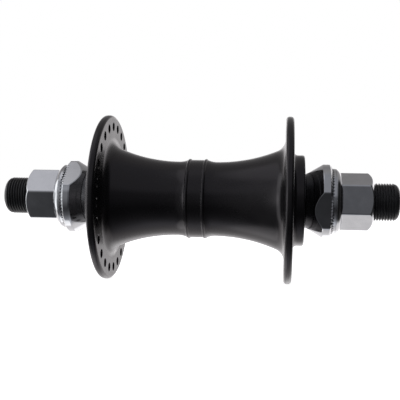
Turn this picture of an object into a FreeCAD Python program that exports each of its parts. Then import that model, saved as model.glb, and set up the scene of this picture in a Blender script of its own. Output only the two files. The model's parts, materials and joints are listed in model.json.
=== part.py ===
import FreeCAD, Part
import math
import os
import Sketcher

# Front hub of a small-wheeled bicycle. The axle lies along X, the hub's middle is the
# origin and Z is up. Millimetres and degrees. "Right" is the +X side.

sizes = [
    ("dropout_spacing", 100.0, "between the outer faces of the two cone nuts"),
    ("axle_length", 149.5, "axle, end to end"),
    ("axle_thread_diameter", 13.9, "crest of the axle's thread"),
    ("thread_pitch", 1.0, "thread of axle and nuts"),
    ("axle_end_round", 2.6, "rounding of the axle's ends"),
    ("axle_middle_diameter", 17.6, "axle between the bearings"),
    ("seat_relief", 0.25, "bearing seat stops this far inside the bearing's outer face"),
    ("shell_length", 80.0, "shell, end to end"),
    ("shell_bore_diameter", 22.0, "shell between the bearings"),
    ("band_diameter", 29.5, "plain band round the middle of the shell"),
    ("ridge_station", 3.06, "middle of each ridge beside the band"),
    ("ridge_width", 1.24, "ridge at its foot"),
    ("ridge_height", 0.4, "ridge above the band"),
    ("waist_station", 7.1, "narrowest place of the shell"),
    ("waist_depth", 0.7, "waist below the band"),
    ("shell_sweep_radius", 60.0, "long curve from the waist out to the flange"),
    ("flange_root_radius", 5.0, "fillet at the inboard foot of the flange"),
    ("flange_spacing", 68.65, "between the middles of the flanges"),
    ("flange_thickness", 2.95, "flange plate"),
    ("flange_edge", 4.35, "flange beyond the spoke holes' pitch circle"),
    ("flange_rim_round", 1.2, "rounding of the flange's rim"),
    ("boss_diameter", 34.0, "bearing boss outboard of the flange"),
    ("boss_root_radius", 1.8, "fillet at the outboard foot of the flange"),
    ("boss_edge_round", 0.8, "rounding of the boss's outer edge"),
    ("seat_chamfer", 0.2, "mouth of the bearing seat"),
    ("spoke_count", 24, "spoke holes in each flange"),
    ("spoke_circle_diameter", 54.0, "pitch circle of the spoke holes"),
    ("spoke_hole_diameter", 3.1, "spoke hole"),
    ("spoke_hole_chamfer", 0.2, "edge break of a spoke hole"),
    ("spoke_start_angle", 4.4, "first spoke hole of the left flange from straight up"),
    ("bearing_bore", 15.0, "cartridge bearing, inside"),
    ("bearing_outside", 28.0, "cartridge bearing, outside"),
    ("bearing_width", 7.0, "cartridge bearing, along the axle"),
    ("bearing_recess", 1.5, "bearing below the end of the shell"),
    ("bearing_edge", 0.3, "edge break of the bearing rings"),
    ("inner_land_diameter", 18.6, "shoulder of the inner ring"),
    ("outer_land_diameter", 24.4, "shoulder of the outer ring"),
    ("ball_count", 11, "balls in one bearing"),
    ("ball_diameter", 4.0, "ball"),
    ("ball_circle_diameter", 21.5, "circle through the balls' middles"),
    ("cage_width", 4.9, "ball cage, along the axle"),
    ("seal_seat_depth", 0.8, "step for the seal in the outer ring's face"),
    ("seal_seat_height", 0.5, "the same step, radially"),
    ("seal_thickness", 0.7, "rubber seal"),
    ("seal_dish", 0.25, "hollow in the outer face of the seal"),
    ("seal_lip_width", 0.85, "plain lip either side of that hollow"),
    ("dust_cap_thickness", 1.3, "dust cap in front of the bearing, along the axle"),
    ("dust_cap_bore", 21.0, "hole in the dust cap, round the cone nut"),
    ("dust_cap_foot", 1.0, "rim of the dust cap that stands on the outer ring, radially"),
    ("dust_cap_lift", 0.4, "the rest of the dust cap clear of the seal"),
    ("dust_cap_edge", 0.15, "edges of the dust cap"),
    ("cone_band_diameter", 27.6, "cylindrical band of the cone nut"),
    ("cone_band_width", 2.5, "that band along the axle"),
    ("cone_inner_diameter", 17.8, "end of the cone nut against the bearing"),
    ("cone_outer_chamfer_run", 0.8, "outer chamfer of the cone nut, along the axle"),
    ("cone_outer_chamfer_drop", 1.0, "outer chamfer of the cone nut, radially"),
    ("cone_flats", 24.0, "across the two spanner flats of the cone nut"),
    ("cone_turn_right", 17.2, "how far the right cone nut is turned"),
    ("cone_turn_left", -47.5, "how far the left cone nut is turned"),
    ("washer_diameter", 24.4, "serrated washer"),
    ("washer_thickness", 1.4, "serrated washer with its teeth"),
    ("tooth_count", 60, "teeth on the washer's inboard face"),
    ("tooth_depth", 0.7, "those teeth, along the axle"),
    ("tooth_length", 2.4, "those teeth, radially"),
    ("nut_length", 14.0, "axle nut with its flange"),
    ("nut_flats", 18.7, "across flats of the axle nut"),
    ("nut_corner_diameter", 21.2, "over the turned corners of the axle nut"),
    ("nut_flange_diameter", 24.4, "flange of the axle nut"),
    ("nut_rim_thickness", 0.2, "plain rim of that flange"),
    ("nut_dome_height", 2.2, "domed front of that flange, along the axle"),
    ("nut_dome_radius", 4.1, "the same dome, in section"),
    ("nut_end_run", 1.95, "turned rounding of the hexagon's outer end, along the axle"),
    ("nut_end_radius", 7.0, "the same rounding, in section"),
    ("nut_face_diameter", 15.4, "outer face of the axle nut, inside that rounding"),
    ("nut_turn_right", -4.4, "how far the right axle nut is turned"),
    ("nut_turn_left", -38.5, "how far the left axle nut is turned"),
    ("bore_chamfer", 0.4, "edge break of the threaded bores"),
    ("thread_play", 0.05, "thread crest to the bore round it, radially"),
    ("press_fit_gap", 0.02, "radial line fit of bearings and seals in their seats"),
    ("ball_play", 0.05, "ball to race, radially"),
    ("pocket_play", 0.08, "ball to cage pocket, radially"),
    ("cage_play", 0.75, "ball cage to the rings' shoulders, radially"),
    ("seal_lip_play", 0.05, "seal lip to inner ring, radially"),
]

doc = FreeCAD.newDocument("FrontHub")
sheet = doc.addObject("Spreadsheet::Sheet", "Sizes")
for row, (alias, value, words) in enumerate(sizes, start=1):
    sheet.set("A%d" % row, words)
    sheet.set("B%d" % row, str(value))
    sheet.setAlias("B%d" % row, alias)
doc.recompute()


class Dim:
    """A length or count as a sheet expression together with its present number."""

    def __init__(self, text, number):
        self.text = text
        self.number = number

    def __add__(self, other):
        other = dim(other)
        return Dim("(%s + %s)" % (self.text, other.text), self.number + other.number)

    def __sub__(self, other):
        other = dim(other)
        return Dim("(%s - %s)" % (self.text, other.text), self.number - other.number)

    def __mul__(self, other):
        other = dim(other)
        return Dim("(%s * %s)" % (self.text, other.text), self.number * other.number)

    def __truediv__(self, other):
        other = dim(other)
        return Dim("(%s / %s)" % (self.text, other.text), self.number / other.number)

    def __neg__(self):
        return Dim("(-1 * %s)" % self.text, -self.number)


def dim(value):
    return value if isinstance(value, Dim) else Dim(str(value), float(value))


def root(value):
    return Dim("sqrt(%s)" % value.text, math.sqrt(value.number))


def size(alias):
    return Dim("Sizes." + alias, float(sheet.get(alias)))


nothing = dim(0)


def bind(thing, prop, value):
    thing.setExpression(prop, value.text)


def newBody(label):
    body = doc.addObject("PartDesign::Body", label)
    body.Label = label
    return body


def originPart(body, role):
    for feature in body.Origin.OriginFeatures:
        if feature.Role == role:
            return feature
    raise RuntimeError("no %s in %s" % (role, body.Label))


def newSketch(body, name, plane):
    sketch = body.newObject("Sketcher::SketchObject", name)
    sketch.AttachmentSupport = [(originPart(body, plane), "")]
    sketch.MapMode = "FlatFace"
    return sketch


def pin(sketch, geometry, end, across, up):
    """Hold one end of a line or arc at a place counted from the sketch's origin."""
    for kind, axis, value in (("DistanceX", -2, across), ("DistanceY", -1, up)):
        if value.text == "0":
            sketch.addConstraint(Sketcher.Constraint("PointOnObject", geometry, end, axis))
            continue
        index = sketch.addConstraint(Sketcher.Constraint(kind, -1, 1, geometry, end, value.number))
        bind(sketch, "Constraints[%d]" % index, value)


def drawLoop(sketch, path):
    """Closed outline. Each entry is (across, up), with (radius, side) added where an arc
    leads on to the next point: side 1 bends to the left of the way, -1 to the right."""
    ends = []
    for number, entry in enumerate(path):
        start = FreeCAD.Vector(entry[0].number, entry[1].number, 0)
        onward = path[(number + 1) % len(path)]
        stop = FreeCAD.Vector(onward[0].number, onward[1].number, 0)
        if len(entry) == 2:
            index = sketch.addGeometry(Part.LineSegment(start, stop), False)
            ends.append((index, 1, 2))
            continue
        radius, side = entry[2], entry[3]
        way = stop - start
        lift = math.sqrt(max(0.0, radius.number ** 2 - way.Length ** 2 / 4))
        left = FreeCAD.Vector(-way.y, way.x, 0) / way.Length
        centre = (start + stop) / 2 + left * (lift * side)
        first, last = (start, stop) if side == 1 else (stop, start)
        angles = [math.atan2(p.y - centre.y, p.x - centre.x) for p in (first, last)]
        if angles[1] <= angles[0]:
            angles[1] += 2 * math.pi
        circle = Part.Circle(centre, FreeCAD.Vector(0, 0, 1), radius.number)
        index = sketch.addGeometry(Part.ArcOfCircle(circle, angles[0], angles[1]), False)
        ends.append((index, 1, 2) if side == 1 else (index, 2, 1))
        rule = sketch.addConstraint(Sketcher.Constraint("Radius", index, radius.number))
        bind(sketch, "Constraints[%d]" % rule, radius)
    for number, (index, start, stop) in enumerate(ends):
        follower, followerStart, followerStop = ends[(number + 1) % len(ends)]
        sketch.addConstraint(Sketcher.Constraint("Coincident", index, stop, follower, followerStart))
        pin(sketch, index, start, path[number][0], path[number][1])


def drawAxis(sketch, start, stop):
    """Construction line between two places of an outline, for a turning axis."""
    ends = [FreeCAD.Vector(entry[0].number, entry[1].number, 0) for entry in (start, stop)]
    line = sketch.addGeometry(Part.LineSegment(ends[0], ends[1]), True)
    pin(sketch, line, 1, start[0], start[1])
    pin(sketch, line, 2, stop[0], stop[1])


def spin(body, name, path, kind="Revolution", about="H_Axis", plane="XZ_Plane"):
    """Turned shape: an outline over the axle line, turned once round it."""
    sketch = newSketch(body, name + "Outline", plane)
    drawLoop(sketch, path)
    feature = body.newObject("PartDesign::" + kind, name)
    feature.Profile = sketch
    feature.ReferenceAxis = (sketch, [about])
    feature.Angle = 360.0
    sketch.Visibility = False
    body.Tip = feature
    return feature


def ringPattern(body, name, feature, count):
    pattern = body.newObject("PartDesign::PolarPattern", name)
    pattern.Originals = [feature]
    pattern.Axis = (originPart(body, "X_Axis"), [""])
    pattern.Angle = 360.0
    pattern.Occurrences = int(count.number)
    bind(pattern, "Occurrences", count)
    body.Tip = pattern
    return pattern


def mirrorHalf(body, name, feature):
    mirror = body.newObject("PartDesign::Mirrored", name)
    mirror.Originals = [feature]
    mirror.MirrorPlane = (originPart(body, "YZ_Plane"), [""])
    body.Tip = mirror
    return mirror


def seat(body, side, station, turn=nothing):
    """Put a piece at its station on the axle. The left side is the right one turned about."""
    rotation = FreeCAD.Rotation(FreeCAD.Vector(1, 0, 0), turn.number)
    if side == "left":
        rotation = rotation * FreeCAD.Rotation(FreeCAD.Vector(0, 0, 1), 180)
        station = -station
    body.Placement = FreeCAD.Placement(FreeCAD.Vector(station.number, 0, 0), rotation)
    bind(body, "Placement.Base.x", station)


# Stations and radii that several pieces share.

shellEnd = size("shell_length") / 2
bearingOut = shellEnd - size("bearing_recess")
bearingIn = bearingOut - size("bearing_width")
bearingMiddle = bearingOut - size("bearing_width") / 2
coneOut = size("dropout_spacing") / 2
nutIn = coneOut + size("washer_thickness")
threadRadius = size("axle_thread_diameter") / 2
threadBore = threadRadius + size("thread_play")
threadDepth = size("thread_pitch") * 0.613
ballCircle = size("ball_circle_diameter") / 2
ballRadius = size("ball_diameter") / 2


def buildShell():
    body = newBody("hub_shell")
    bore = size("shell_bore_diameter") / 2
    band = size("band_diameter") / 2
    ridgeIn = size("ridge_station") - size("ridge_width") / 2
    ridgeOut = size("ridge_station") + size("ridge_width") / 2
    rise = size("ridge_height")
    halfRidge = size("ridge_width") / 2
    ridgeRound = (halfRidge * halfRidge + rise * rise) / (rise * 2)
    waistAcross = size("waist_station")
    waist = band - size("waist_depth")
    reach = waistAcross - ridgeOut
    drop = size("waist_depth")
    scoop = (reach * reach + drop * drop) / (drop * 2)
    sweep = size("shell_sweep_radius")
    foot = size("flange_root_radius")
    plateIn = size("flange_spacing") / 2 - size("flange_thickness") / 2
    plateOut = size("flange_spacing") / 2 + size("flange_thickness") / 2
    # The root fillet touches both the long curve and the flange's inboard face.
    footAcross = plateIn - foot
    apart = sweep - foot
    along = footAcross - waistAcross
    height = root(apart * apart - along * along)
    footUp = waist + sweep - height
    meetAcross = waistAcross + along * sweep / apart
    meetUp = waist + sweep - height * sweep / apart
    circle = size("spoke_circle_diameter") / 2
    rim = circle + size("flange_edge")
    rimRound = size("flange_rim_round")
    boss = size("boss_diameter") / 2
    bossFoot = size("boss_root_radius")
    bossRound = size("boss_edge_round")
    mouth = size("seat_chamfer")
    bearing = size("bearing_outside") / 2
    half = spin(body, "ShellHalf", [
        (nothing, bore),
        (nothing, band),
        (ridgeIn, band, ridgeRound, -1),
        (ridgeOut, band, scoop, 1),
        (waistAcross, waist, sweep, 1),
        (meetAcross, meetUp, foot, 1),
        (plateIn, footUp),
        (plateIn, rim - rimRound, rimRound, -1),
        (plateIn + rimRound, rim),
        (plateOut - rimRound, rim, rimRound, -1),
        (plateOut, rim - rimRound),
        (plateOut, boss + bossFoot, bossFoot, 1),
        (plateOut + bossFoot, boss),
        (shellEnd - bossRound, boss, bossRound, -1),
        (shellEnd, boss - bossRound),
        (shellEnd, bearing + mouth),
        (shellEnd - mouth, bearing),
        (bearingIn, bearing),
        (bearingIn, bore),
    ])
    mirrorHalf(body, "ShellWhole", half)
    doc.recompute()
    plain = body.Shape.Volume
    hole = size("spoke_hole_diameter") / 2
    edge = size("spoke_hole_chamfer")
    wide = hole + edge * 2
    halfStep = dim(180) / size("spoke_count")
    for name, sign, turn in (
        ("LeftSpokes", dim(-1), size("spoke_start_angle")),
        ("RightSpokes", dim(1), size("spoke_start_angle") + halfStep),
    ):
        sketch = newSketch(body, name + "Outline", "XZ_Plane")
        sketch.AttachmentOffset = FreeCAD.Placement(
            FreeCAD.Vector(0, 0, 0), FreeCAD.Rotation(FreeCAD.Vector(1, 0, 0), turn.number))
        bind(sketch, "AttachmentOffset.Rotation.Angle", turn)
        path = [
            (sign * (plateIn - edge), circle),
            (sign * (plateIn - edge), circle + wide),
            (sign * (plateIn + edge), circle + hole),
            (sign * (plateOut - edge), circle + hole),
            (sign * (plateOut + edge), circle + wide),
            (sign * (plateOut + edge), circle),
        ]
        drawLoop(sketch, path)
        drawAxis(sketch, path[0], path[-1])
        hollow = body.newObject("PartDesign::Groove", name + "First")
        hollow.Profile = sketch
        hollow.ReferenceAxis = (sketch, ["Axis0"])
        hollow.Angle = 360.0
        sketch.Visibility = False
        ringPattern(body, name, hollow, size("spoke_count"))
    doc.recompute()
    if body.Shape.Volume >= plain:
        raise RuntimeError("the spoke holes cut nothing")
    return body


def buildAxle():
    body = newBody("axle")
    middle = size("axle_middle_diameter") / 2
    journal = size("bearing_bore") / 2 - size("press_fit_gap")
    end = size("axle_length") / 2
    rounding = size("axle_end_round")
    journalEnd = bearingOut - size("seat_relief")
    half = spin(body, "AxleHalf", [
        (nothing, nothing),
        (nothing, middle),
        (bearingIn, middle),
        (bearingIn, journal),
        (journalEnd, journal),
        (journalEnd, threadRadius),
        (end - rounding, threadRadius, rounding, -1),
        (end, threadRadius - rounding),
        (end, nothing),
    ])
    mirrorHalf(body, "AxleWhole", half)
    doc.recompute()
    # Thread as a row of rings: true pitch, depth, crest and root widths.
    pitch = size("thread_pitch")
    threadStart = journalEnd + pitch
    threadRun = end - rounding - threadStart - pitch * 0.5
    turns = math.floor(threadRun.number / pitch.number)
    crestHalf = pitch * 0.4375
    rootHalf = crestHalf - threadDepth * 0.57735
    spare = pitch * 0.1
    rise = spare * 0.57735
    for name, sign in (("Left", dim(-1)), ("Right", dim(1))):
        plain = body.Shape.Volume
        first = spin(body, name + "ThreadRing", [
            (sign * (threadStart - crestHalf - rise), threadRadius + spare),
            (sign * (threadStart - rootHalf), threadRadius - threadDepth),
            (sign * (threadStart + rootHalf), threadRadius - threadDepth),
            (sign * (threadStart + crestHalf + rise), threadRadius + spare),
        ], kind="Groove")
        rings = body.newObject("PartDesign::LinearPattern", name + "Thread")
        rings.Originals = [first]
        rings.Direction = (originPart(body, "X_Axis"), [""])
        rings.Reversed = sign.number < 0
        rings.Occurrences = turns + 1
        rings.Length = turns * pitch.number
        bind(rings, "Length", pitch * turns)
        body.Tip = rings
        doc.recompute()
        if plain - body.Shape.Volume < turns * pitch.number * threadDepth.number:
            raise RuntimeError("the thread cut nothing")
    return body


def buildOuterRing(side):
    body = newBody("bearing_outer_ring_" + side)
    half = size("bearing_width") / 2
    outside = size("bearing_outside") / 2 - size("press_fit_gap")
    edge = size("bearing_edge")
    land = size("outer_land_diameter") / 2
    step = land + size("seal_seat_height")
    deep = half - size("seal_seat_depth")
    race = ballRadius + size("ball_play")
    above = land - ballCircle
    mouth = root(race * race - above * above)
    spin(body, "Ring", [
        (-(half - edge), outside),
        (half - edge, outside),
        (half, outside - edge),
        (half, step),
        (deep, step),
        (deep, land),
        (mouth, land, race, 1),
        (-mouth, land),
        (-deep, land),
        (-deep, step),
        (-half, step),
        (-half, outside - edge),
    ])
    seat(body, side, bearingMiddle)
    return body


def buildInnerRing(side):
    body = newBody("bearing_inner_ring_" + side)
    half = size("bearing_width") / 2
    inside = size("bearing_bore") / 2
    edge = size("bearing_edge")
    land = size("inner_land_diameter") / 2
    race = ballRadius + size("ball_play")
    below = ballCircle - land
    mouth = root(race * race - below * below)
    spin(body, "Ring", [
        (-half, inside + edge),
        (-half, land),
        (-mouth, land, race, 1),
        (mouth, land),
        (half, land),
        (half, inside + edge),
        (half - edge, inside),
        (-(half - edge), inside),
    ])
    seat(body, side, bearingMiddle)
    return body


def buildBalls(side):
    body = newBody("bearing_balls_" + side)
    body.AllowCompound = True
    sketch = newSketch(body, "BallOutline", "XZ_Plane")
    path = [
        (-ballRadius, ballCircle, ballRadius, -1),
        (nothing, ballCircle + ballRadius, ballRadius, -1),
        (ballRadius, ballCircle),
    ]
    drawLoop(sketch, path)
    drawAxis(sketch, path[0], path[-1])
    ball = body.newObject("PartDesign::Revolution", "Ball")
    ball.Profile = sketch
    ball.ReferenceAxis = (sketch, ["Axis0"])
    ball.Angle = 360.0
    sketch.Visibility = False
    ringPattern(body, "Balls", ball, size("ball_count"))
    seat(body, side, bearingMiddle)
    return body


def buildCage(side):
    body = newBody("ball_cage_" + side)
    half = size("cage_width") / 2
    inside = size("inner_land_diameter") / 2 + size("cage_play")
    outside = size("outer_land_diameter") / 2 - size("cage_play")
    spin(body, "Hoop", [
        (-half, inside),
        (-half, outside),
        (half, outside),
        (half, inside),
    ])
    doc.recompute()
    plain = body.Shape.Volume
    sketch = newSketch(body, "PocketOutline", "XY_Plane")
    radius = ballRadius + size("pocket_play")
    circle = Part.Circle(FreeCAD.Vector(0, 0, 0), FreeCAD.Vector(0, 0, 1), radius.number)
    index = sketch.addGeometry(circle, False)
    sketch.addConstraint(Sketcher.Constraint("Coincident", index, 3, -1, 1))
    rule = sketch.addConstraint(Sketcher.Constraint("Radius", index, radius.number))
    bind(sketch, "Constraints[%d]" % rule, radius)
    pocket = body.newObject("PartDesign::Pocket", "BallPocket")
    pocket.Profile = sketch
    pocket.Type = "Length"
    pocket.Length = (outside + 1).number
    bind(pocket, "Length", outside + 1)
    pocket.Reversed = True
    sketch.Visibility = False
    ringPattern(body, "BallPockets", pocket, size("ball_count"))
    doc.recompute()
    if body.Shape.Volume >= plain:
        raise RuntimeError("the ball pockets cut nothing")
    seat(body, side, bearingMiddle)
    return body


def buildSeal(side, face):
    """Rubber disc in the step of the outer ring. face 1 looks outboard, -1 inboard."""
    body = newBody("bearing_seal_%s_%s" % (side, "outer" if face == 1 else "inner"))
    sign = dim(face)
    half = size("bearing_width") / 2
    inside = size("inner_land_diameter") / 2 + size("seal_lip_play")
    outside = size("outer_land_diameter") / 2 + size("seal_seat_height") - size("press_fit_gap")
    back = half - size("seal_seat_depth")
    front = back + size("seal_thickness")
    dish = front - size("seal_dish")
    lip = size("seal_lip_width")
    spin(body, "Disc", [
        (sign * back, inside),
        (sign * front, inside),
        (sign * front, inside + lip),
        (sign * dish, inside + lip),
        (sign * dish, outside - lip),
        (sign * front, outside - lip),
        (sign * front, outside),
        (sign * back, outside),
    ])
    seat(body, side, bearingMiddle)
    return body


def buildDustCap(side):
    """Ring pressed into the seat in front of the bearing, counted from the bearing's face."""
    body = newBody("dust_cap_" + side)
    outside = size("bearing_outside") / 2 - size("press_fit_gap")
    inside = size("dust_cap_bore") / 2
    thick = size("dust_cap_thickness")
    lift = size("dust_cap_lift")
    edge = size("dust_cap_edge")
    foot = outside - size("dust_cap_foot")
    spin(body, "Cap", [
        (nothing, foot),
        (nothing, outside - edge),
        (edge, outside),
        (thick - edge, outside),
        (thick, outside - edge),
        (thick, inside + edge),
        (thick - edge, inside),
        (lift, inside),
        (lift, foot),
    ])
    seat(body, side, bearingOut)
    return body


def boreOutline(start, stop):
    """Threaded bore with an edge break at both ends, to be cut out."""
    edge = size("bore_chamfer")
    return [
        (start - edge, nothing),
        (start - edge, threadBore + edge * 2),
        (start + edge, threadBore),
        (stop - edge, threadBore),
        (stop + edge, threadBore + edge * 2),
        (stop + edge, nothing),
    ]


def buildConeNut(side):
    """Cone nut, counted from its outer face, which the fork's dropout bears on."""
    body = newBody("cone_nut_" + side)
    inner = bearingOut - coneOut
    band = size("cone_band_diameter") / 2
    run = size("cone_outer_chamfer_run")
    bandIn = -(run + size("cone_band_width"))
    spin(body, "Cone", [
        (inner, nothing),
        (inner, size("cone_inner_diameter") / 2),
        (bandIn, band),
        (-run, band),
        (nothing, band - size("cone_outer_chamfer_drop")),
        (nothing, nothing),
    ])
    spin(body, "Bore", boreOutline(inner, nothing), kind="Groove")
    doc.recompute()
    plain = body.Shape.Volume
    sketch = newSketch(body, "FlatsOutline", "YZ_Plane")
    near = size("cone_flats") / 2
    for sign in (dim(1), dim(-1)):
        drawLoop(sketch, [
            (sign * near, -band * 2),
            (sign * band * 2, -band * 2),
            (sign * band * 2, band * 2),
            (sign * near, band * 2),
        ])
    flats = body.newObject("PartDesign::Pocket", "Flats")
    flats.Profile = sketch
    flats.Type = "Length"
    flats.Length = -inner.number
    bind(flats, "Length", -inner)
    sketch.Visibility = False
    body.Tip = flats
    doc.recompute()
    if body.Shape.Volume >= plain:
        raise RuntimeError("the spanner flats cut nothing")
    turn = size("cone_turn_" + side)
    seat(body, side, coneOut, turn)
    return body


def buildWasher(side):
    """Serrated washer, counted from the tips of its teeth, which bite the dropout."""
    body = newBody("serrated_washer_" + side)
    outside = size("washer_diameter") / 2
    thick = size("washer_thickness")
    spin(body, "Disc", [
        (nothing, threadBore),
        (nothing, outside),
        (thick, outside),
        (thick, threadBore),
    ])
    doc.recompute()
    plain = body.Shape.Volume
    # One notch between two teeth, as wide at the face as the pitch allows.
    sketch = newSketch(body, "NotchOutline", "XY_Plane")
    sketch.AttachmentOffset = FreeCAD.Placement(
        FreeCAD.Vector(0, 0, (outside - size("tooth_length")).number), FreeCAD.Rotation())
    bind(sketch, "AttachmentOffset.Base.z", outside - size("tooth_length"))
    deep = size("tooth_depth")
    halfNotch = outside * math.pi / size("tooth_count") * 0.8
    drawLoop(sketch, [
        (-deep * 0.2, -halfNotch * 1.2),
        (-deep * 0.2, halfNotch * 1.2),
        (deep, nothing),
    ])
    notch = body.newObject("PartDesign::Pocket", "Notch")
    notch.Profile = sketch
    notch.Type = "Length"
    notch.Length = (size("tooth_length") + 1).number
    bind(notch, "Length", size("tooth_length") + 1)
    notch.Reversed = True
    sketch.Visibility = False
    ringPattern(body, "Notches", notch, size("tooth_count"))
    doc.recompute()
    if body.Shape.Volume >= plain:
        raise RuntimeError("the washer's notches cut nothing")
    seat(body, side, coneOut)
    return body


def buildAxleNut(side):
    """Flanged hexagon nut, counted from the face of its flange."""
    body = newBody("axle_nut_" + side)
    length = size("nut_length")
    flat = size("nut_flats") / 2
    corner = flat * 2 / math.sqrt(3)
    sketch = newSketch(body, "HexagonOutline", "YZ_Plane")
    drawLoop(sketch, [
        (flat, corner / 2),
        (nothing, corner),
        (-flat, corner / 2),
        (-flat, -corner / 2),
        (nothing, -corner),
        (flat, -corner / 2),
    ])
    prism = body.newObject("PartDesign::Pad", "Hexagon")
    prism.Profile = sketch
    prism.Type = "Length"
    prism.Length = length.number
    bind(prism, "Length", length)
    sketch.Visibility = False
    body.Tip = prism
    turned = size("nut_corner_diameter") / 2
    face = size("nut_face_diameter") / 2
    far = corner * 1.5
    spin(body, "Corners", [
        (-length * 0.1, turned),
        (length - size("nut_end_run"), turned, size("nut_end_radius"), -1),
        (length, face),
        (length * 1.1, face),
        (length * 1.1, far),
        (-length * 0.1, far),
    ], kind="Groove")
    rim = size("nut_flange_diameter") / 2
    plain = size("nut_rim_thickness")
    domeTop = plain + size("nut_dome_height")
    core = threadBore + (flat - threadBore) * 0.65
    spin(body, "Flange", [
        (nothing, nothing),
        (nothing, rim),
        (plain, rim, size("nut_dome_radius"), -1),
        (domeTop, core),
        (domeTop, nothing),
    ])
    spin(body, "Bore", boreOutline(nothing, length), kind="Groove")
    seat(body, side, nutIn, size("nut_turn_" + side))
    return body


nodes = [buildShell(), buildAxle()]
for side in ("left", "right"):
    nodes.append(buildOuterRing(side))
    nodes.append(buildInnerRing(side))
    nodes.append(buildBalls(side))
    nodes.append(buildCage(side))
    nodes.append(buildSeal(side, -1))
    nodes.append(buildSeal(side, 1))
    nodes.append(buildDustCap(side))
    nodes.append(buildConeNut(side))
    nodes.append(buildWasher(side))
    nodes.append(buildAxleNut(side))
doc.recompute()

for thing in doc.Objects:
    for word in ("Invalid", "Error"):
        if word in thing.State:
            raise RuntimeError("%s failed: %s" % (thing.Label, thing.State))
os.makedirs("parts", exist_ok=True)
for node in nodes:
    if node.Shape.isNull() or not node.Shape.isValid():
        raise RuntimeError("bad shape: " + node.Label)
for node in nodes:
    node.Shape.exportStep("parts/%s.step" % node.Label)
    print(node.Label, len(node.Shape.Solids), round(node.Shape.Volume, 3), node.Shape.BoundBox)
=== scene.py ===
import json
import math

import bmesh
import bpy
from mathutils import Matrix, Vector


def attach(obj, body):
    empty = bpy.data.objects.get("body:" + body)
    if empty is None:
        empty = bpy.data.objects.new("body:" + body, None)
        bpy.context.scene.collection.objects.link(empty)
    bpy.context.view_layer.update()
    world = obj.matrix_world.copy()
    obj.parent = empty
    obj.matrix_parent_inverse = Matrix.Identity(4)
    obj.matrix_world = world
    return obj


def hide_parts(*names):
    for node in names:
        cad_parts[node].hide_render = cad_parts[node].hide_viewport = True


mm = 0.001  # every size below is in millimetres unless it says otherwise
sides = {"left": -1, "right": 1}

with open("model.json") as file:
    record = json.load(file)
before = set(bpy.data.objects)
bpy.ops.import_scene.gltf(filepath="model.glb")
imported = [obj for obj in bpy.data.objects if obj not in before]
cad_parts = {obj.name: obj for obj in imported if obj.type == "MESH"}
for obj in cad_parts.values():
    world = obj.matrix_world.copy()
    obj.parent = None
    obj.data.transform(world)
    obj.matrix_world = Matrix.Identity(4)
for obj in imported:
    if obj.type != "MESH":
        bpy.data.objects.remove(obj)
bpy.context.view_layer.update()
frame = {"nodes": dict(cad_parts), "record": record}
print("frame loaded")

camera = {
    "place": (0.03131, -0.2782, 0.0),  # metres
    "pan": 6.268,  # degrees towards -X
    "tilt": -0.102,  # degrees upwards
    "roll": 1.126,
    "lens": 66.05,
    "sensor": 36,
    "near": 0.01,  # metres, as the next one
    "far": 20,
}


def addCamera(spec):
    pan, tilt, roll = (math.radians(spec[k]) for k in ("pan", "tilt", "roll"))
    ahead = Vector((-math.sin(pan) * math.cos(tilt), math.cos(pan) * math.cos(tilt), math.sin(tilt)))
    right = Vector((math.cos(pan), math.sin(pan), 0))
    up = right.cross(ahead)
    imageRight = right * math.cos(roll) + up * math.sin(roll)
    imageUp = up * math.cos(roll) - right * math.sin(roll)
    data = bpy.data.cameras.new("camera")
    data.lens = spec["lens"]
    data.sensor_width = spec["sensor"]
    data.clip_start = spec["near"]
    data.clip_end = spec["far"]
    made = bpy.data.objects.new("camera", data)
    bpy.context.scene.collection.objects.link(made)
    turned = Matrix((imageRight, imageUp, -ahead)).transposed().to_4x4()
    made.matrix_world = Matrix.Translation(Vector(spec["place"])) @ turned
    bpy.context.scene.camera = made


addCamera(camera)
print("camera placed")


# outlines are (x, r) pairs: along the axle, and out from it

def arcRadius(half, rise):
    # of an arc that rises or sinks so much over half its width
    return (half * half + rise * rise) / (rise * 2)


def arcPoints(start, end, radius, side, steps):
    # side 1 has the centre to the left of the way from start to end, so it is hollow on top
    half = (Vector(end) - Vector(start)) / 2
    lift = math.sqrt(max(radius ** 2 - half.length_squared, 0))
    centre = Vector(start) + half + side * lift * Vector((-half.y, half.x)).normalized()
    first = Vector(start) - centre
    last = Vector(end) - centre
    begin = math.atan2(first.y, first.x)
    swing = (math.atan2(last.y, last.x) - begin + math.pi) % math.tau - math.pi
    turns = [begin + swing * k / steps for k in range(1, steps)]
    return [(centre.x + radius * math.cos(t), centre.y + radius * math.sin(t)) for t in turns]


def tracePath(path):
    # each corner is (x, r), or (x, r, radius, side, steps) where an arc leaves it
    points = []
    for k, corner in enumerate(path):
        points.append(corner[:2])
        if len(corner) > 2:
            points += arcPoints(corner[:2], path[k + 1][:2], *corner[2:])
    return points


def softened(points, ease, sharpest=25, steps=4, share=0.45):
    # every corner sharper than so many degrees gets a small rounding, within that share of its sides
    eased = [points[0]]
    for before, point, after in zip(points, points[1:], points[2:]):
        here = Vector(point)
        back, onward = Vector(before) - here, Vector(after) - here
        if math.degrees(back.angle(-onward)) < sharpest:
            eased.append(point)
            continue
        reach = min(ease, back.length * share, onward.length * share)
        a, b = here + back.normalized() * reach, here + onward.normalized() * reach
        for k in range(steps + 1):
            t = k / steps
            eased.append(tuple(a * (1 - t) ** 2 + here * 2 * t * (1 - t) + b * t ** 2))
    return eased + [points[-1]]


def outlineRadius(points):
    # radius of an outline that never turns back, at any x along it
    def at(x):
        for (x0, r0), (x1, r1) in zip(points, points[1:]):
            if x <= x1:
                return r0 + (r1 - r0) * (x - x0) / max(x1 - x0, 1e-9)
        return points[-1][1]
    return at


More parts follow.
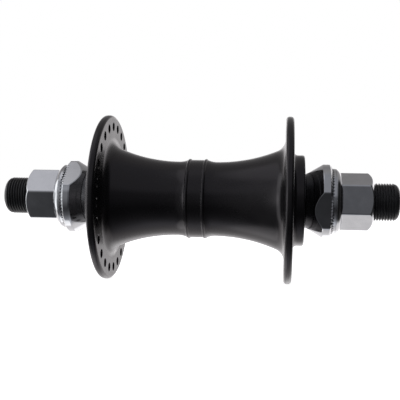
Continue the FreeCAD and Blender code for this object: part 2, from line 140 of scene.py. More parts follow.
def roundDrop(x, low, high, edge):
    # how much a rounding takes off near either end
    over = max(low + edge - x, x - (high - edge), 0)
    return edge - math.sqrt(max(edge * edge - over * over, 0))


def columnsBetween(low, high, step):
    count = max(1, round((high - low) / step))
    return [low + (high - low) * k / count for k in range(count + 1)]


def clamp(value):
    # to between 0 and 1
    return min(max(value, 0), 1)


def softMin(a, b, blend):
    # the smaller of the two, rounded where they come within the blend of each other
    near = max(blend - abs(a - b), 0) / blend
    return min(a, b) - near * near * blend / 4


def softMax(a, b, blend):
    return -softMin(-a, -b, blend)


def roundPoint(x, r, angle):
    # angle is about +X, from straight up
    return (x * mm, -r * math.sin(angle) * mm, r * math.cos(angle) * mm)


def evenAngles(count):
    return [math.tau * k / count for k in range(count)]


def joinRings(mesh, a, b):
    for k in range(len(a)):
        n = (k + 1) % len(a)
        mesh.faces.new((a[k], a[n], b[n], b[k]))


def mergePoints(mesh, within=1e-7):
    bmesh.ops.remove_doubles(mesh, verts=mesh.verts, dist=within)


def pieceFrom(mesh, name, place=Matrix()):
    bmesh.ops.recalc_face_normals(mesh, faces=mesh.faces)
    data = bpy.data.meshes.new(name)
    mesh.to_mesh(data)
    mesh.free()
    data.transform(place)
    piece = bpy.data.objects.new(name, data)
    bpy.context.scene.collection.objects.link(piece)
    return piece


class Turning:
    # a mesh made ring by ring round the axle line

    def __init__(self, angles):
        self.angles = angles
        self.mesh = bmesh.new()
        self.edge = None  # the ring that the next one joins

    def ring(self, x, r):
        # r is a number or a function of the angle
        fresh = [self.mesh.verts.new(roundPoint(x, r(a) if callable(r) else r, a)) for a in self.angles]
        if self.edge:
            joinRings(self.mesh, self.edge, fresh)
        self.edge = fresh

    def rings(self, points):
        for x, r in points:
            self.ring(x, r)

    def close(self):
        self.mesh.faces.new(self.edge)

    def thread(self, start, stop, pitch, radiusAt):
        # one strip that winds along the axle line and meets itself a pitch further on
        columns = [0.0, 0.09, 0.4, 0.5, 0.6, 0.91]  # places across one turn
        wide = len(columns)
        turns = int((stop - start) / pitch) - 1
        grid = []
        for angle in self.angles:
            lead = pitch * angle / math.tau
            row = []
            for m in range(turns * wide + 1):
                place = columns[m % wide]
                x = start + (m // wide + place) * pitch + lead
                row.append(self.mesh.verts.new(roundPoint(x, radiusAt(x, place), angle)))
            grid.append(row)
        faces = self.mesh.faces
        for here, ahead in zip(grid, grid[1:] + [grid[0][wide:]]):
            for m in range(len(ahead) - 1):
                faces.new((here[m], ahead[m], ahead[m + 1], here[m + 1]))
        # its start is closed to the ring before it
        for k in range(len(grid) - 1):
            faces.new((self.edge[k], self.edge[k + 1], grid[k + 1][0], grid[k][0]))
        faces.new([self.edge[-1], self.edge[0]] + grid[0][:wide + 1] + [grid[-1][0]])
        # and its end to a ring just past the last turn
        end = start + (turns + 1.05) * pitch
        closing = [self.mesh.verts.new(roundPoint(end, radiusAt(end, 0.0), a)) for a in self.angles]
        for k in range(len(grid) - 1):
            faces.new((grid[k][-1], grid[k + 1][-1], closing[k + 1], closing[k]))
        faces.new(grid[-1][-wide - 1:] + [closing[-1], closing[0], grid[0][-1]])
        self.edge = closing
        return end

    def finished(self, name, place=Matrix()):
        return pieceFrom(self.mesh, name, place)


def applyModifiers(piece):
    seen = piece.evaluated_get(bpy.context.evaluated_depsgraph_get())
    data = bpy.data.meshes.new_from_object(seen)
    piece.modifiers.clear()
    piece.data = data


def smooth(piece, sharpest):
    # edges sharper than so many degrees stay sharp
    piece.data.shade_smooth()
    piece.data.set_sharp_from_angle(angle=math.radians(sharpest))
    weights = piece.modifiers.new("even shading", "WEIGHTED_NORMAL")
    weights.keep_sharp = True


def seatMatrix(side, station, turn=0):
    # a piece's own +x points outwards on both sides
    sign = sides[side]
    flip = Matrix.Rotation(0 if sign > 0 else math.pi, 4, "Z")
    out = Matrix.Translation((sign * station * mm, 0, 0))
    return Matrix.Rotation(math.radians(turn), 4, "X") @ out @ flip


def newMaterial(name):
    made = bpy.data.materials.new(name)
    made.use_nodes = True
    nodes, links = made.node_tree.nodes, made.node_tree.links
    return made, nodes, links, nodes["Principled BSDF"]


def objectNoise(nodes, links, scale, detail=4, stretch=(1, 1, 1)):
    where = nodes.new("ShaderNodeTexCoord")
    mapping = nodes.new("ShaderNodeMapping")
    mapping.inputs["Scale"].default_value = stretch
    noise = nodes.new("ShaderNodeTexNoise")
    noise.inputs["Scale"].default_value = scale
    noise.inputs["Detail"].default_value = detail
    links.new(where.outputs["Object"], mapping.inputs["Vector"])
    links.new(mapping.outputs["Vector"], noise.inputs["Vector"])
    return noise.outputs["Fac"]


def spread(nodes, links, source, low, high, fromLow=0.3, fromHigh=0.7):
    # turns a noise, which mostly lies from 0.3 to 0.7, into a value between low and high
    span = nodes.new("ShaderNodeMapRange")
    span.inputs["From Min"].default_value = fromLow
    span.inputs["From Max"].default_value = fromHigh
    span.inputs["To Min"].default_value = low
    span.inputs["To Max"].default_value = high
    links.new(source, span.inputs["Value"])
    return span.outputs["Result"]


def tint(nodes, links, source, dark, light, start=0.3, end=0.7):
    ramp = nodes.new("ShaderNodeValToRGB")
    ramp.color_ramp.elements[0].color = (*dark, 1)
    ramp.color_ramp.elements[1].color = (*light, 1)
    ramp.color_ramp.elements[0].position = start
    ramp.color_ramp.elements[1].position = end
    links.new(source, ramp.inputs["Fac"])
    return ramp.outputs["Color"]


def patchy(nodes, links, shader, scale, dark, light, roughness):
    # colour and roughness wander together
    patches = objectNoise(nodes, links, scale)
    links.new(tint(nodes, links, patches, dark, light), shader.inputs["Base Color"])
    links.new(spread(nodes, links, patches, *roughness), shader.inputs["Roughness"])


def grain(nodes, links, shader, *layers):
    # bumps laid over one another: scale and detail of a noise, its height in metres, and its stretch
    normal = None
    for scale, detail, height, *stretch in layers:
        bump = nodes.new("ShaderNodeBump")
        bump.inputs["Distance"].default_value = height
        links.new(objectNoise(nodes, links, scale, detail, *stretch), bump.inputs["Height"])
        if normal:
            links.new(normal, bump.inputs["Normal"])
        normal = bump.outputs["Normal"]
    links.new(normal, shader.inputs["Normal"])


satinBlack = {
    "dark": (0.0105, 0.01, 0.0106),
    "light": (0.013, 0.0124, 0.013),
    "roughness": (0.2, 0.27),
    "patches": 130,
    "shine": 0.43,
    "shineTint": (1.0, 0.93, 0.97, 1),
    "turningMarks": (5200, 3, 0.0000008, (1, 0.02, 0.02)),  # scale, detail, height in metres, stretch
    "speckle": (5200, 2, 0.0000012),
}


def satinBlackMaterial(spec):
    made, nodes, links, shader = newMaterial("satin black")
    shader.inputs["Specular IOR Level"].default_value = spec["shine"]
    shader.inputs["Specular Tint"].default_value = spec["shineTint"]
    patchy(nodes, links, shader, spec["patches"], spec["dark"], spec["light"], spec["roughness"])
    grain(nodes, links, shader, spec["turningMarks"], spec["speckle"])
    return made


thread = {
    "crest": 6.95,
    "depth": 0.613,
    "pitch": 1.0,
    "bore": 7.0,
    "crestShare": 0.06,  # of the depth, cut flat at the crest
    "rootShare": 0.08,
}


def grooveShare(across):
    # how deep the groove is at a place across one turn, from 0 on the crest to 1 on the root
    wave = 0.5 - 0.5 * math.cos(math.tau * across)
    return clamp((wave - thread["crestShare"]) / (1 - thread["crestShare"] - thread["rootShare"]))


blackOxide = {
    "root": (0.034, 0.033, 0.034),
    "crest": (0.042, 0.041, 0.042),
    "worn": 0.25,  # how far down from the crest the black is rubbed
    "metal": 0.2,
    "roughness": (0.3, 0.45),
    "oil": 300,
    "grit": (6000, 2, 0.000002),  # scale, detail, height in metres
}


def blackOxideMaterial(spec):
    made, nodes, links, shader = newMaterial("black oxide")
    shader.inputs["Metallic"].default_value = spec["metal"]
    where = nodes.new("ShaderNodeTexCoord")
    flat = nodes.new("ShaderNodeVectorMath")
    flat.operation = "MULTIPLY"
    flat.inputs[1].default_value = (0, 1, 1)
    out = nodes.new("ShaderNodeVectorMath")
    out.operation = "LENGTH"
    links.new(where.outputs["Object"], flat.inputs[0])
    links.new(flat.outputs["Vector"], out.inputs[0])
    crest, worn = thread["crest"], spec["worn"]
    rubbed = spread(nodes, links, out.outputs["Value"], 0, 1, (crest - worn) * mm, crest * mm)
    links.new(tint(nodes, links, rubbed, spec["root"], spec["crest"], 0, 1), shader.inputs["Base Color"])
    oil = objectNoise(nodes, links, spec["oil"])
    links.new(spread(nodes, links, oil, *spec["roughness"]), shader.inputs["Roughness"])
    grain(nodes, links, shader, spec["grit"])
    return made


chrome = {
    "dull": (0.545, 0.55, 0.565),
    "bright": (0.605, 0.61, 0.625),
    "roughness": (0.08, 0.14),
    "haze": 260,
    "waves": (190, 2, 0.000006),  # scale, detail, height in metres
    "scratches": (3000, 4, 0.0000006),
    "turned": (1, 0.04, 0.04),  # which way the scratches run
    "forged": (0.3, 1, 1),
}


def chromeMaterial(name, spec, stretch):
    made, nodes, links, shader = newMaterial(name)
    shader.inputs["Metallic"].default_value = 1.0
    patchy(nodes, links, shader, spec["haze"], spec["dull"], spec["bright"], spec["roughness"])
    grain(nodes, links, shader, spec["waves"], (*spec["scratches"], stretch))
    return made


bearingFinish = {
    "patches": 400,
    "darkest": 0.85,  # share of the colour
    "grain": (3500, 3),  # scale and detail; each part adds height in metres and stretch
    "parts": {
        "bearing_steel": {"colour": (0.5, 0.5, 0.51), "metal": 1.0, "roughness": (0.22, 0.34),
                          "grain": (0.000001, (1, 0.03, 0.03))},
        "ball_steel": {"colour": (0.62, 0.62, 0.63), "metal": 1.0, "roughness": (0.05, 0.1),
                       "grain": (0.0000003,)},
        "cage_plastic": {"colour": (0.72, 0.68, 0.56), "metal": 0.0, "roughness": (0.4, 0.55),
                         "grain": (0.000008,)},
        "seal_rubber": {"colour": (0.018, 0.018, 0.019), "metal": 0.0, "roughness": (0.5, 0.68),
                        "grain": (0.000012,)},
        "black_cap": {"colour": (0.11, 0.107, 0.11), "metal": 0.9, "roughness": (0.2, 0.3),
                      "grain": (0.000001, (1, 0.03, 0.03))},
    },
}


def bearingMaterial(name, part, spec):
    made, nodes, links, shader = newMaterial(name.replace("_", " "))
    shader.inputs["Metallic"].default_value = part["metal"]
    darker = tuple(c * spec["darkest"] for c in part["colour"])
    patchy(nodes, links, shader, spec["patches"], darker, part["colour"], part["roughness"])
    grain(nodes, links, shader, spec["grain"] + part["grain"])
    return made


turnedChrome = chromeMaterial("turned chrome", chrome, chrome["turned"])
finishes = {
    "black_shell": satinBlackMaterial(satinBlack),
    "black_axle": blackOxideMaterial(blackOxide),
    "chromed_cone": turnedChrome,
    "chromed_washer": turnedChrome,
    "chromed_nut": chromeMaterial("forged chrome", chrome, chrome["forged"]),
}
for name, part in bearingFinish["parts"].items():
    finishes[name] = bearingMaterial(name, part, bearingFinish)
for part in frame["record"]["subparts"]:
    node = frame["nodes"][part["node"]]
    node.data.materials.clear()
    node.data.materials.append(finishes[part["material_slot"]])
print("finishes made")


def dress(piece, body, slot, *nodes):
    piece.data.materials.clear()
    piece.data.materials.append(finishes[slot])
    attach(piece, body)
    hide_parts(*nodes)


shell = {
    "end": 40.0,
    "bore": 11.0,
    "band": 14.75,
    "ridge": (3.06, 1.24, 0.4),  # middle, width, height
    "waist": (7.1, 0.7),  # where, and how far below the band
    "sweep": 60.0,
    "foot": 5.0,
    "flange": (34.325, 2.95, 31.35, 1.2),  # middle, thickness, radius, rim rounding
    "boss": (17.0, 1.8, 0.8),  # radius, root fillet, rounding of the outer edge
    "bearing": (14.0, 31.5, 0.2),  # radius, where its seat starts, chamfer at its mouth
    "edge": 0.18,
    "around": 224,
    "sharpest": 30,  # degrees
}
spokeHoles = {
    "count": 24,
    "circle": 27.0,
    "radius": 1.55,
    "edge": 0.2,
    "around": 32,
    "turn": {"left": 4.4, "right": -3.1},  # degrees from straight up
}


def shellOutline(spec):
    band = spec["band"]
    middle, width, rise = spec["ridge"]
    ridgeIn, ridgeOut = middle - width / 2, middle + width / 2
    waistX, drop = spec["waist"]
    waist = band - drop
    plate, thick, rim, rimRound = spec["flange"]
    plateIn, plateOut = plate - thick / 2, plate + thick / 2
    # the foot's fillet touches both the long sweep and the flange
    sweep, foot = spec["sweep"], spec["foot"]
    apart = sweep - foot
    along = plateIn - foot - waistX
    height = math.sqrt(apart * apart - along * along)
    meet = (waistX + along * sweep / apart, waist + sweep - height * sweep / apart)
    boss, bossFoot, bossRound = spec["boss"]
    bearing, seat, mouth = spec["bearing"]
    end = spec["end"]
    return tracePath([
        (0, band),
        (ridgeIn, band, arcRadius(width / 2, rise), -1, 10),
        (ridgeOut, band, arcRadius(waistX - ridgeOut, drop), 1, 8),
        (waistX, waist, sweep, 1, 30),
        (*meet, foot, 1, 20),
        (plateIn, waist + sweep - height),
        (plateIn, rim - rimRound, rimRound, -1, 10),
        (plateIn + rimRound, rim),
        (plateOut - rimRound, rim, rimRound, -1, 10),
        (plateOut, rim - rimRound),
        (plateOut, boss + bossFoot, bossFoot, 1, 10),
        (plateOut + bossFoot, boss),
        (end - bossRound, boss, bossRound, -1, 8),
        (end, boss - bossRound),
        (end, bearing + mouth),
        (end - mouth, bearing),
        (seat, bearing),
        (seat, spec["bore"]),
    ])


def buildSpokeCutters(spec, flange):
    plate, thick = flange[:2]
    edge, hole = spec["edge"], spec["radius"]
    low, high = plate - thick / 2, plate + thick / 2
    # wider at both faces of the flange, for the broken edges
    wide = hole + edge * 2
    path = [(low - edge, wide), (low + edge, hole), (high - edge, hole), (high + edge, wide)]
    cutters = bmesh.new()
    for side, sign in sides.items():
        for k in range(spec["count"]):
            turn = math.radians(spec["turn"][side] + 360 / spec["count"] * k)
            centre = Vector(roundPoint(0, spec["circle"], turn))
            loops = []
            for x, r in path:
                places = [centre + Vector(roundPoint(x * sign, r, a)) for a in evenAngles(spec["around"])]
                loops.append([cutters.verts.new(place) for place in places])
            for a, b in zip(loops, loops[1:]):
                joinRings(cutters, a, b)
            cutters.faces.new(loops[0])
            cutters.faces.new(loops[-1])
    return pieceFrom(cutters, "spoke cutters")


def buildShell(spec):
    half = softened(shellOutline(spec), spec["edge"])
    whole = [(-x, r) for x, r in reversed(half[1:])] + half
    turning = Turning(evenAngles(spec["around"]))
    turning.rings(whole + whole[:1])
    mergePoints(turning.mesh)
    piece = turning.finished("shell")
    cutters = buildSpokeCutters(spokeHoles, spec["flange"])
    holes = piece.modifiers.new("spoke holes", "BOOLEAN")
    holes.object = cutters
    holes.solver = "EXACT"
    applyModifiers(piece)
    bpy.data.objects.remove(cutters)
    smooth(piece, spec["sharpest"])
    return piece


dress(buildShell(shell), "shell", "black_shell", "hub_shell")
print("shell turned")

axle = {
    "end": 74.75,
    "middle": 8.8,
    "seat": 7.48,
    "seatStart": 31.5,
    "threadStart": 38.25,
    "collar": 0.2,  # plain stretch before the thread fades in
    "helixStart": 38.5,
    "runOut": 0.7,  # left plain at the axle's end
    "endRound": 2.6,
    "endSteps": 8,
    "centreHole": (1.6, 1.3, 0.02),  # radius, depth, radius of its tip
    "edge": 0.15,
    "around": 84,
    "sharpest": 50,  # degrees
}


def buildAxle(spec):
    crest, depth, pitch = thread["crest"], thread["depth"], thread["pitch"]
    end, curve, edge = spec["end"], spec["endRound"], spec["edge"]
    seat, begin, collarEnd = spec["seatStart"], spec["threadStart"], spec["threadStart"] + spec["collar"]

    def roundedAt(x):
        over = max(x - (end - curve), 0)
        return crest - curve + math.sqrt(max(curve * curve - over * over, 0))

    def radiusAt(x, across):
        return min(crest - depth * grooveShare(across) * clamp((x - collarEnd) / pitch), roundedAt(x))

    turning = Turning(evenAngles(spec["around"]))
    turning.rings(softened([
        (0, spec["middle"]),
        (seat, spec["middle"]),
        (seat, spec["seat"]),
        (begin, spec["seat"]),
        (begin, crest),
        (collarEnd, crest),
    ], edge))
    last = turning.thread(spec["helixStart"], end - spec["runOut"], pitch, radiusAt)
    for k in range(1, spec["endSteps"] + 1):
        x = last + (end - last) * math.sin(math.pi / 2 * k / spec["endSteps"])
        turning.ring(x, roundedAt(x))
    hole, deep, tip = spec["centreHole"]
    face = crest - curve - 0.05  # just inside the end's rounding
    turning.rings(softened([(end, face), (end, hole), (end - deep, tip)], edge))
    turning.close()
    half = turning.finished("axle")
    twin = half.data.copy()
    twin.transform(Matrix.Rotation(math.pi, 4, "Z"))
    both = bmesh.new()
    both.from_mesh(half.data)
    both.from_mesh(twin)
    mergePoints(both, 1e-6)
    bmesh.ops.recalc_face_normals(both, faces=both.faces)
    both.to_mesh(half.data)
    both.free()
    smooth(half, spec["sharpest"])
    return half


dress(buildAxle(axle), "axle", "black_axle", "axle")
print("axle threaded")

coneNut = {
    "station": 50.0,  # where its outer face is
    "length": 11.5,
    "inner": 8.9,
    "band": 13.8,
    "bandWidth": 2.5,
    "bandEdge": 0.2,
    "chamfer": (0.8, 1.0),  # along, in
    "flats": 12.0,
    "turn": {"left": -47.5, "right": 17.2},
    "serrations": (60, 0.42),  # how many, and how deep at the outer face
    "mouth": (0.4, 1.5, 1.2),  # chamfer of the bore, and how wide the outer and inner faces are
    "mouthEdge": 0.1,
    "edge": 0.16,
    "endEdge": 0.112,
    # rings by from, to and step, close together where the flats cut the cone
    "rings": [(-11.0, -8.0, 0.5), (-7.8, -3.2, 0.16), (-2.8, -1.1, 0.4), (-1.0, -0.3, 0.1)],
    "endRings": [0, 0.006, 0.025, 0.055, 0.1, 0.15, 0.21],  # from either end
    "around": 360,
    "sharpest": 40,
}


def buildConeNut(spec, side):
    # x is 0 at the outer face and negative towards the bearing
    run, fall = spec["chamfer"]
    low, bore = -spec["length"], thread["bore"]
    edge, endEdge = spec["edge"], spec["endEdge"]
    turned = outlineRadius(softened([
        (low, spec["inner"]),
        (-run - spec["bandWidth"], spec["band"]),
        (-run, spec["band"]),
        (0, spec["band"] - fall),
    ], spec["bandEdge"]))
    teeth, bite = spec["serrations"]

    def radiusAt(x):
        drop = roundDrop(x, low, 0, endEdge)

        def at(angle):
            # before the nut is turned the flats face front and back, and elsewhere they are out of reach
            flat = spec["flats"] / max(abs(math.sin(angle)), 0.2) - drop
            notch = bite * max(0, 1 + x / run) * (0.5 - 0.5 * math.cos(teeth * angle))
            return softMin(turned(x) - drop, flat, edge) - notch
        return at

    stations = [low + d for d in spec["endRings"]]
    for start, stop, step in spec["rings"]:
        stations += columnsBetween(start, stop, step)
    stations += [-d for d in reversed(spec["endRings"])]
    turning = Turning(evenAngles(spec["around"]))
    turning.rings([(x, radiusAt(x)) for x in stations])
    mouth, outer, inner = spec["mouth"]
    turning.rings(softened([
        (0, bore + outer),
        (0, bore + mouth),
        (-mouth, bore),
        (low + mouth, bore),
        (low, bore + mouth),
        (low, bore + inner),
    ], spec["mouthEdge"]))
    turning.ring(low, radiusAt(low))
    mergePoints(turning.mesh)
    piece = turning.finished("cone_nut_" + side, seatMatrix(side, spec["station"], spec["turn"][side]))
    smooth(piece, spec["sharpest"])
    return piece


washer = {
    "station": 50.0,
    "radius": 12.2,
    "thick": 1.4,
    "teeth": 60,
    "toothDepth": 0.7,
    "toothLength": 2.4,
    "notch": 0.8,  # share of a tooth's step that the notch takes
    "wall": 0.03,  # run of the steep wall at a notch's inner end
    "margin": 0.05,  # plain rim left below the notches
    # places across one notch, in half widths, with their share of the depth
    "across": [(-1.08, 0.0), (-0.93, 0.07), (-0.08, 0.97), (0.08, 0.97), (0.93, 0.07), (1.08, 0.0)],
    "edge": 0.15,
    "sharpest": 35,
}


def buildWasher(spec, side):
    outside, thick, edge, bore = spec["radius"], spec["thick"], spec["edge"], thread["bore"]
    inside = outside - spec["toothLength"]
    step = math.tau / spec["teeth"]
    halfNotch = outside * step / 2 * spec["notch"]
    limit = step / 2 * 0.98  # no place reaches the next tooth
    mesh = bmesh.new()

    def ringAt(r, notchRadius, placeAt):
        # the notch keeps its width at any notchRadius, and placeAt turns its depth into x
        ring = []
        for tooth in range(spec["teeth"]):
            for offset, depth in spec["across"]:
                angle = step * tooth + max(-limit, min(limit, offset * halfNotch / notchRadius))
                ring.append(mesh.verts.new(roundPoint(placeAt(depth * spec["toothDepth"]), r, angle)))
        return ring

    # (r, x) pairs: the toothed face from the inside out, x being how far its rounding stands back
    toothed = [
        (inside + spec["wall"], 0),
        (inside + 0.8, 0),
        (outside - edge * 2, 0),
        (outside - edge * 0.6, edge * 0.25),
        (outside, edge),
    ]
    start = spec["toothDepth"] + spec["margin"]
    plain = softened([(outside, start), (outside, thick), (bore, thick), (bore, 0), (inside - 0.1, 0)], edge)
    rings = [ringAt(inside, inside, lambda depth: 0)]
    rings += [ringAt(r, r, lambda depth: max(depth, back)) for r, back in toothed]
    rings += [ringAt(r, outside, lambda depth: x) for r, x in plain]
    for a, b in zip(rings, rings[1:] + rings[:1]):
        joinRings(mesh, a, b)
    piece = pieceFrom(mesh, "serrated_washer_" + side, seatMatrix(side, spec["station"]))
    smooth(piece, spec["sharpest"])
    return piece


axleNut = {
    "station": 51.4,  # where its inner face is
    "length": 14.0,
    "flats": 9.35,
    "corners": 10.75,
    "cornerEdge": 0.06,
    "rim": 12.2,
    "rimThick": 0.2,
    "rimEdge": 0.15,
    "dome": (2.2, 4.1),  # height, radius in section
    "domeFoot": 0.65,  # how far out it ends, from the bore to the flats
    "domeEdge": 0.2,
    "end": (1.95, 7.0, 7.7),  # run, radius in section, and the face it leaves
    "turn": {"left": -38.5, "right": -4.4},
    "edge": 0.25,
    "hexagonFrom": (0.3, 30),  # how near the washer it comes, and how steeply it sinks below that
    "mouth": (0.4, 1.5),  # chamfer of the bore, and how wide the inner face is
    "lead": 0.6,  # where the groove starts, from either face
    "slack": 0.07,  # how much shallower the groove is than the thread
    "nearHalf": [0, 0.5, 1.0, 1.5, 2.1, 2.8, 3.7, 5, 7, 10, 14, 18, 22, 26],  # degrees from a corner
    "rimRings": [0, 0.005, 0.02, 0.05, 0.1, 0.16, 0.3, 0.42],  # from the washer
    "endRings": [0.08, 0.03, 0],  # from the outer end
    "ringSteps": (0.09, 1.2, 0.1),  # on the dome, the hexagon and the rounded end
    "arcSteps": 24,
    "sharpest": 40,
}


def hexagonAngles(nearHalf):
    # close together at the corners, which are at 0, 60, 120 ... degrees
    oneSide = nearHalf + [30] + [60 - d for d in reversed(nearHalf[1:])]
    return [math.radians(60 * k + d) for k in range(6) for d in oneSide]


def buildAxleNut(spec, side):
    # x is 0 at the face on the washer
    length, bore, pitch = spec["length"], thread["bore"], thread["pitch"]
    flats, corners, rim, edge = spec["flats"], spec["corners"], spec["rim"], spec["edge"]
    height, domeRound = spec["dome"]
    run, endRound, face = spec["end"]
    rimEnd, domeEnd, endStart = spec["rimThick"], spec["rimThick"] + height, length - run
    core = bore + (flats - bore) * spec["domeFoot"]
    steps = spec["arcSteps"]
    domePath = [(0, rim), (rimEnd, rim, domeRound, -1, steps), (domeEnd, core), (length, 0)]
    endPath = [(0, corners), (endStart, corners, endRound, -1, steps), (length, face)]
    dome, end = outlineRadius(tracePath(domePath)), outlineRadius(tracePath(endPath))
    lowest, steep = spec["hexagonFrom"]

    def radiusAt(x):
        low = dome(x) - roundDrop(x, 0, length * 2, spec["rimEdge"])
        sunk = steep * max(0, lowest - x)

        def at(angle):
            turn = (math.degrees(angle) % 60) - 30
            flat = flats / math.cos(math.radians(turn))
            near = flats / math.cos(math.radians(60 - abs(turn)))
            hexagon = softMin(softMin(flat, near, spec["cornerEdge"]), end(x), edge)
            return softMax(low, hexagon - sunk, spec["domeEdge"])
        return at

    # the grooves lie over the axle's crests, so that the nut can run along the thread
    lead, mouth = spec["lead"], spec["mouth"][0]
    meets = axle["helixStart"] - spec["station"] + sides[side] * spec["turn"][side] / 360
    start = lead + (meets - lead) % pitch

    def grooveAt(x, across):
        fade = clamp(min(x - lead, length - lead - x) / pitch)
        return bore - (thread["depth"] - spec["slack"]) * grooveShare(across) * fade

    # the close rings of the dome and of the rounded end reach a little onto the hexagon between them
    domeStep, hexagonStep, endStep = spec["ringSteps"]
    stations = spec["rimRings"] + columnsBetween(0.5, domeEnd + 0.25, domeStep)
    stations += columnsBetween(domeEnd + 0.6, endStart - 0.6, hexagonStep)
    stations += columnsBetween(endStart - 0.3, length - 0.15, endStep)
    stations += [length - d for d in spec["endRings"]]
    turning = Turning(hexagonAngles(spec["nearHalf"]))
    turning.rings([(0, bore + mouth), (mouth, bore)])
    turning.thread(start, length - lead, pitch, grooveAt)
    turning.rings([
        (length - mouth, bore),
        (length - 0.06, bore + mouth - 0.06),
        (length, bore + mouth + 0.04),
        (length, face - 0.1),
    ])
    turning.rings([(x, radiusAt(x)) for x in reversed(stations)])
    turning.rings([(0, bore + spec["mouth"][1]), (0, bore + mouth)])
    mergePoints(turning.mesh)
    piece = turning.finished("axle_nut_" + side, seatMatrix(side, spec["station"], spec["turn"][side]))
    smooth(piece, spec["sharpest"])
    return piece


for side in sides:
    dress(buildConeNut(coneNut, side), "axle", "chromed_cone", "cone_nut_" + side)
    dress(buildWasher(washer, side), "washer_" + side, "chromed_washer", "serrated_washer_" + side)
    dress(buildAxleNut(axleNut, side), "nut_" + side, "chromed_nut", "axle_nut_" + side)
print("nuts and washers made")

studio = {
    # sine of the height above the horizon, and how bright the surroundings are there
    "front": [
        (-1.0, 0.8), (-0.95, 0.34), (-0.86, 0.14), (-0.72, 0.066), (-0.56, 0.034), (-0.4, 0.04), (-0.2, 0.09),
        (0.0, 0.13), (0.2, 0.14), (0.36, 0.36), (0.7, 0.36), (0.95, 0.36), (1.0, 0.34),
    ],
    "frontTint": (0.9, 0.92, 1.0),
    "back": [
        (-1.0, 0.75), (-0.85, 0.95), (-0.5, 1.1), (-0.3, 1.2), (-0.18, 1.6), (-0.07, 1.02), (0.07, 1.04),
        (0.18, 1.6), (0.28, 1.1), (0.4, 0.42), (0.6, 0.34), (0.8, 0.28), (1.0, 0.34),
    ],
    "backTint": (0.99, 0.965, 0.975),
    "turnover": (-0.05, 0.3),  # where front goes over into back, along Y
    # soft lights: where from, full out to and gone by (degrees), how much they add, tint
    "lights": [
        ((-0.98, -0.2, 0.06), 30, 36, 1.9, (0.95, 0.98, 1.0)),
        ((-0.84, -0.55, 0.03), 7, 11, 5.5, (0.97, 0.98, 1.0)),
        ((-0.87, -0.5, 0.0), 42, 54, 0.12, (0.95, 0.97, 1.0)),
        ((-0.5, -0.12, 0.86), 14, 26, 0.42, (0.95, 0.94, 0.98)),
        ((-0.47, 0.12, -0.87), 10, 20, 1.4, (0.98, 0.99, 1.0)),
        ((0.15, 0.8, -0.58), 11, 18, 0.6, (1.0, 1.0, 1.0)),
    ],
    # a dark stand beside the object: where, full out to, gone by, how much it hides, colour
    "screen": ((0.995, -0.1, 0.0), 38, 52, 0.97, (0.01, 0.01, 0.01)),
}


def profileRamp(nodes, links, source, stops):
    ramp = nodes.new("ShaderNodeValToRGB")
    elements = ramp.color_ramp.elements
    while len(elements) < len(stops):
        elements.new(0.5)
    for element, (height, level) in zip(elements, stops):
        element.position = (height + 1) / 2
        element.color = (level, level, level, 1)
    links.new(source, ramp.inputs["Fac"])
    return ramp.outputs["Color"]


def nearness(nodes, links, source, towards, full, gone, level):
    dot = nodes.new("ShaderNodeVectorMath")
    dot.operation = "DOT_PRODUCT"
    dot.inputs[1].default_value = Vector(towards).normalized()
    links.new(source, dot.inputs[0])
    fall = nodes.new("ShaderNodeMapRange")
    fall.interpolation_type = "SMOOTHSTEP"
    fall.inputs["From Min"].default_value = math.cos(math.radians(gone))
    fall.inputs["From Max"].default_value = math.cos(math.radians(full))
    fall.inputs["To Max"].default_value = level
    links.new(dot.outputs["Value"], fall.inputs["Value"])
    return fall.outputs["Result"]


def blended(nodes, links, mode, factor, a, b):
    mixed = nodes.new("ShaderNodeMix")
    mixed.data_type = "RGBA"
    mixed.blend_type = mode
    for source, name in ((factor, "Factor"), (a, "A"), (b, "B")):
        socket = mixed.inputs[name]
        if isinstance(source, tuple):
            socket.default_value = (*source, 1)
        elif isinstance(source, int):
            socket.default_value = source
        else:
            links.new(source, socket)
    return mixed.outputs["Result"]


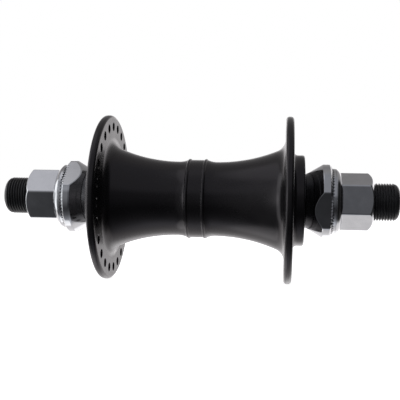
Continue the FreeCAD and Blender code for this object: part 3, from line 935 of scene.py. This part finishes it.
def buildStudio(spec):
    world = bpy.data.worlds.new("studio")
    bpy.context.scene.world = world
    world.use_nodes = True
    nodes, links = world.node_tree.nodes, world.node_tree.links
    where = nodes.new("ShaderNodeTexCoord").outputs["Generated"]
    parts = nodes.new("ShaderNodeSeparateXYZ")
    links.new(where, parts.inputs["Vector"])
    up = spread(nodes, links, parts.outputs["Z"], 0, 1, -1, 1)
    grey = {half: profileRamp(nodes, links, up, spec[half]) for half in ("front", "back")}
    front = blended(nodes, links, "MULTIPLY", 1, grey["front"], spec["frontTint"])
    back = blended(nodes, links, "MULTIPLY", 1, grey["back"], spec["backTint"])
    depth = spread(nodes, links, parts.outputs["Y"], 0, 1, *spec["turnover"])
    around = blended(nodes, links, "MIX", depth, front, back)
    *screen, dark = spec["screen"]
    around = blended(nodes, links, "MIX", nearness(nodes, links, where, *screen), around, dark)
    for *light, colour in spec["lights"]:
        around = blended(nodes, links, "ADD", nearness(nodes, links, where, *light), around, colour)
    path = nodes.new("ShaderNodeLightPath")
    around = blended(nodes, links, "MIX", path.outputs["Is Camera Ray"], around, (1, 1, 1))
    links.new(around, nodes["Background"].inputs["Color"])


buildStudio(studio)

floor = {
    "half": 3.0,  # metres
    "level": -shell["flange"][2],  # the flanges stand on it
    "dark": (0.9, 0.9, 0.9),
    "light": (0.94, 0.94, 0.94),
    "fibres": 900,
    "roughness": 0.9,
    "glow": 0.92,
}


def buildFloor(spec):
    made, nodes, links, shader = newMaterial("white paper")
    fibres = objectNoise(nodes, links, spec["fibres"])
    links.new(tint(nodes, links, fibres, spec["dark"], spec["light"]), shader.inputs["Base Color"])
    shader.inputs["Roughness"].default_value = spec["roughness"]
    shader.inputs["Emission Color"].default_value = (1, 1, 1, 1)
    shader.inputs["Emission Strength"].default_value = spec["glow"]
    sheet = bmesh.new()
    half, level = spec["half"], spec["level"] * mm
    corners = ((-half, -half), (half, -half), (half, half), (-half, half))
    sheet.faces.new([sheet.verts.new((x, y, level)) for x, y in corners])
    paper = pieceFrom(sheet, "floor")
    paper.data.materials.append(made)
    paper.visible_glossy = False
    paper.visible_diffuse = False


buildFloor(floor)
bpy.context.scene.view_settings.view_transform = "Standard"
print("studio lit")
